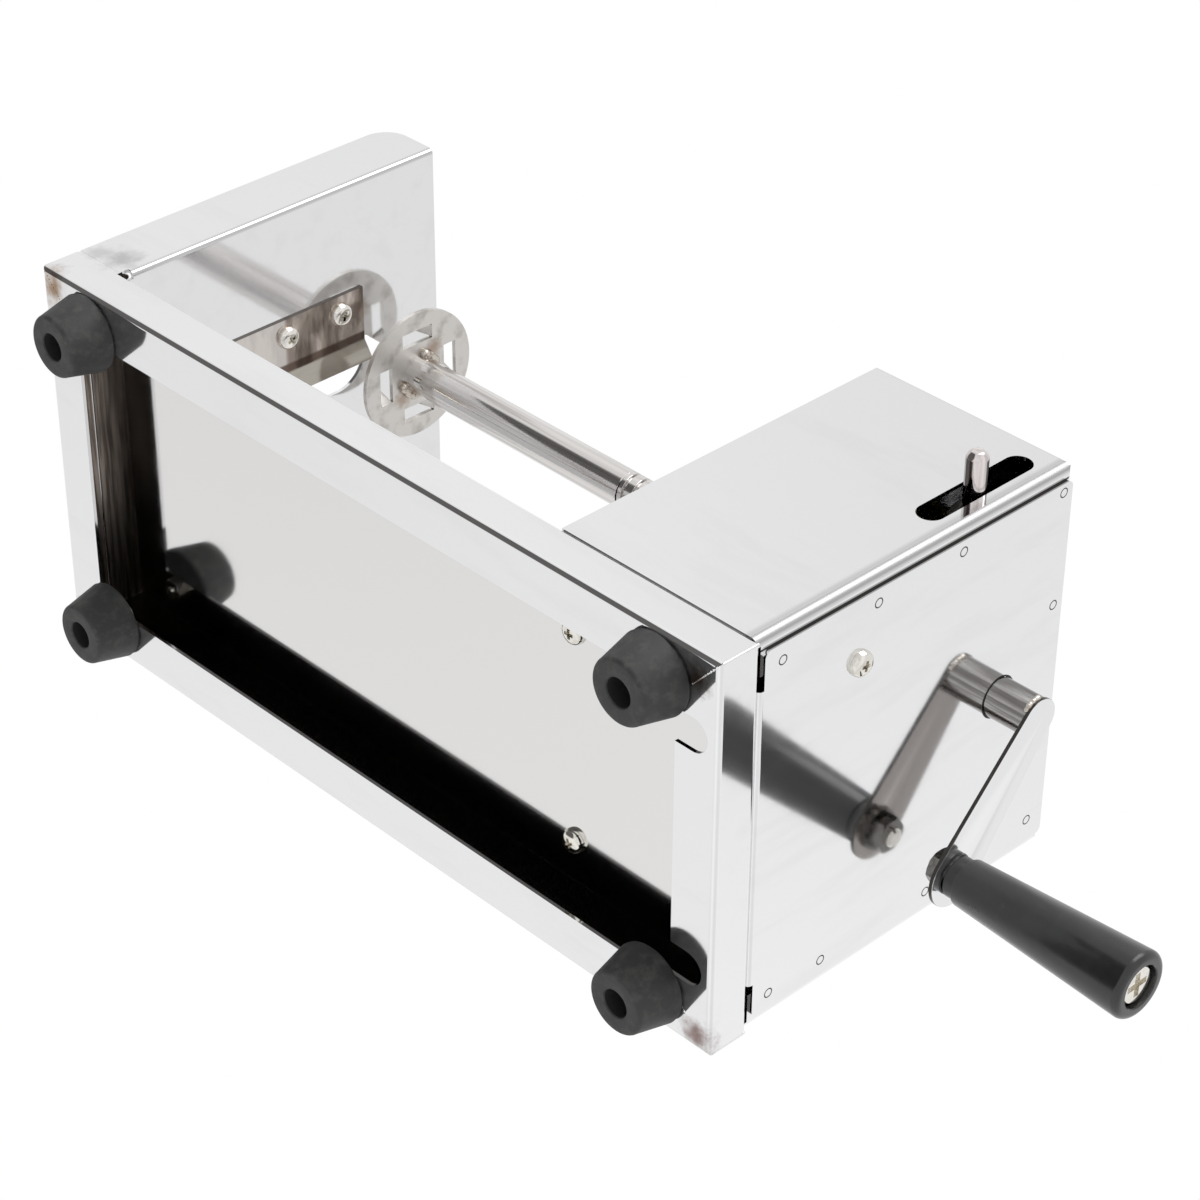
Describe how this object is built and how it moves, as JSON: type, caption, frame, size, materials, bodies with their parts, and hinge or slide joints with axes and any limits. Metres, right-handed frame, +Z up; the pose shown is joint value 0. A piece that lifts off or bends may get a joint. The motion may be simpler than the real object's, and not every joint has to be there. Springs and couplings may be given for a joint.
{
  "type": "hand cranked spiral potato cutter",
  "caption": "Hand cranked spiral potato cutter: a folded steel base with a bladed upright and a housing, and a push rod that a crank turns and a thread feeds.",
  "frame": {"origin": "bottom centre of the whole part's bounding box, on the bench that the four feet stand on", "axes": "+X along the push rod from the blade to the crank, +Z up, +Y to the side away from the release pin"},
  "size_m": [0.3666, 0.1418, 0.1529],
  "materials": {
    "polished_steel": "mirror polished stainless sheet",
    "blade_steel": "polished blade steel",
    "turned_steel": "turned and punched stainless",
    "plated_screws": "bright plated",
    "brass": "machined",
    "black_nylon": "matt",
    "black_grip": "glossy moulded phenolic",
    "foot_rubber": "matt moulded rubber"
  },
  "bodies": {
    "frame": {"base_pan": "polished_steel", "front_upright": "polished_steel", "blade": "blade_steel", "blade_screws": "plated_screws", "blade_nuts": "plated_screws", "housing_cover": "polished_steel", "housing_front_wall": "polished_steel", "housing_end_plate": "polished_steel", "housing_screws": "plated_screws", "housing_nuts": "plated_screws", "rear_bush": "black_nylon", "lever_pivot": "turned_steel", "lever_clip": "turned_steel", "lever_spring": "turned_steel", "spring_post_screw": "plated_screws", "spring_post_nut": "plated_screws", "foot_front_left": "foot_rubber", "foot_front_right": "foot_rubber", "foot_rear_left": "foot_rubber", "foot_rear_right": "foot_rubber", "foot_screws": "plated_screws", "foot_washers": "plated_screws", "foot_nuts": "plated_screws"},
    "turning_bush": {"front_bush": "brass"},
    "rod": {"push_rod": "turned_steel", "drive_disc": "turned_steel", "crank_arm": "turned_steel", "handle_bolt": "plated_screws", "handle_washer": "plated_screws", "handle_nut": "plated_screws"},
    "grip": {"handle_grip": "black_grip"},
    "lever": {"release_lever": "turned_steel", "release_pin": "turned_steel", "half_nut": "brass", "half_nut_screws": "plated_screws"}
  },
  "joints": [
    {"name": "crank_spin", "type": "hinge", "parent": "frame", "child": "turning_bush", "pos_m": [0, 0.0059, 0.1265], "axis": [1, 0, 0], "range_deg": [-540, 11700]},
    {"name": "rod_feed", "type": "slide", "parent": "turning_bush", "child": "rod", "axis": [1, 0, 0], "range_m": [-0.0061, 0.1301]},
    {"name": "grip_spin", "type": "hinge", "parent": "rod", "child": "grip", "pos_m": [0.15, 0.04344, 0.095], "axis": [1, 0, 0], "continuous": true},
    {"name": "nut_release", "type": "hinge", "parent": "frame", "child": "lever", "pos_m": [0.0859, 0.0509, 0.132], "axis": [1, 0, 0], "range_deg": [-7, 0], "stiffness_Nm_per_rad": 5.2, "springref_deg": 4.58, "deforming": ["lever_spring"]}
  ],
  "couplings": [
    {"joint": "rod_feed", "follows": "crank_spin", "m_per_rad": 0.00063662}
  ]
}
